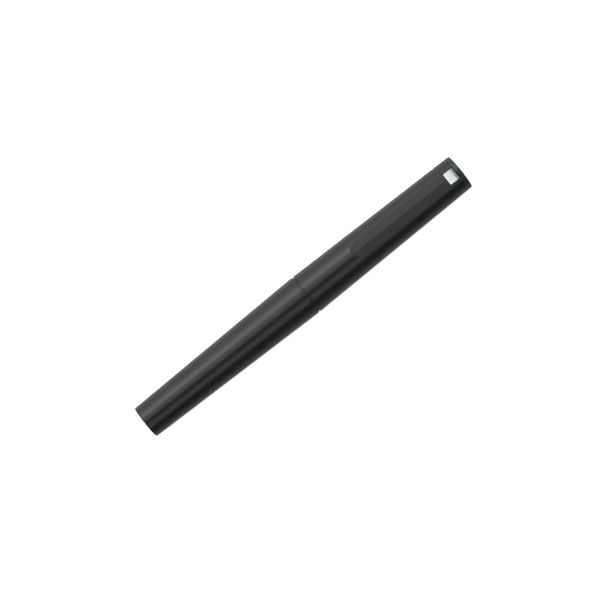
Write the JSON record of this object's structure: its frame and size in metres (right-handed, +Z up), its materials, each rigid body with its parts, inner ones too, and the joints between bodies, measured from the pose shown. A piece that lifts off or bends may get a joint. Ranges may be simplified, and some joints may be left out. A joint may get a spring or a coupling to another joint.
{
  "type": "technical pen",
  "caption": "Capped technical drawing pen: tapered black barrel and cap, recessed V panel with a bright inlay, tubular needle point, weighted cleaning wire and plug-in ink cartridge.",
  "frame": {"origin": "bottom centre of the closed pen lying on its side, midway between its two ends", "axes": "+X along the pen from the barrel end to the cap end, +Z up, the cap's recessed panel facing up"},
  "size_m": [0.139, 0.0152, 0.0153],
  "materials": {
    "black_shell": "satin black, lightly polished",
    "black_plug": "satin black",
    "thread_brass": "machined",
    "seal_rubber": "matte",
    "section_plastic": "fine matte",
    "trim_ring": "satin black",
    "point_plastic": "smooth",
    "vent_plastic": "natural",
    "width_ring": "moulded colour",
    "polished_steel": "polished",
    "weight_brass": "turned",
    "cartridge_plastic": "translucent",
    "bright_inlay": "fine satin metal",
    "liner_plastic": "moulded",
    "spring_steel": "drawn wire"
  },
  "bodies": {
    "section": {"grip_section": "section_plastic", "trim_ring": "trim_ring", "point_body": "point_plastic", "vent_spiral": "vent_plastic", "point_retainer": "vent_plastic", "line_width_ring": "width_ring", "needle_ferrule": "polished_steel", "needle_tube": "polished_steel"},
    "barrel_seal": {"barrel_seal_ring": "seal_rubber"},
    "barrel": {"barrel_shell": "black_shell", "barrel_thread_insert": "thread_brass", "barrel_end_plug": "black_plug", "end_plug_o_ring": "seal_rubber"},
    "cartridge": {"ink_cartridge": "cartridge_plastic", "cartridge_seal": "seal_rubber"},
    "wire_weight": {"cleaning_weight": "weight_brass", "cleaning_wire": "polished_steel"},
    "cap_clutch": {"cap_grip_ring": "seal_rubber"},
    "cap": {"cap_shell": "black_shell", "cap_end_plug": "black_plug", "bright_inlay": "bright_inlay", "inner_cap": "liner_plastic", "spring_disc": "liner_plastic", "seal_spring": "spring_steel"},
    "point_seal": {"seal_plunger": "liner_plastic", "seal_cup": "seal_rubber"}
  },
  "joints": [
    {"name": "cap_turn", "type": "hinge", "parent": "section", "child": "cap_clutch", "pos_m": [0.007, 0, 0.00766], "axis": [1, 0, 0], "continuous": true},
    {"name": "cap_pull", "type": "slide", "parent": "cap_clutch", "child": "cap", "axis": [1, 0, 0], "range_m": [0, 0.065]},
    {"name": "seal_press", "type": "slide", "parent": "cap", "child": "point_seal", "axis": [1, 0, 0], "range_m": [0, 0.0015], "stiffness_N_per_m": 120, "springref_m": -0.001, "deforming": ["seal_spring"]},
    {"name": "barrel_turn", "type": "hinge", "parent": "section", "child": "barrel_seal", "pos_m": [0.00035, 0, 0.00766], "axis": [-1, 0, 0], "range_deg": [0, 1441]},
    {"name": "barrel_advance", "type": "slide", "parent": "barrel_seal", "child": "barrel", "axis": [-1, 0, 0], "range_m": [0, 0.005]},
    {"name": "cartridge_pull", "type": "slide", "parent": "section", "child": "cartridge", "axis": [-1, 0, 0], "range_m": [0, 0.008]},
    {"name": "weight_slide", "type": "slide", "parent": "section", "child": "wire_weight", "axis": [1, 0, 0], "range_m": [-0.003, 0.0004]}
  ],
  "couplings": [
    {"joint": "barrel_turn", "follows": "barrel_advance", "rad_per_m": 5026.5}
  ]
}
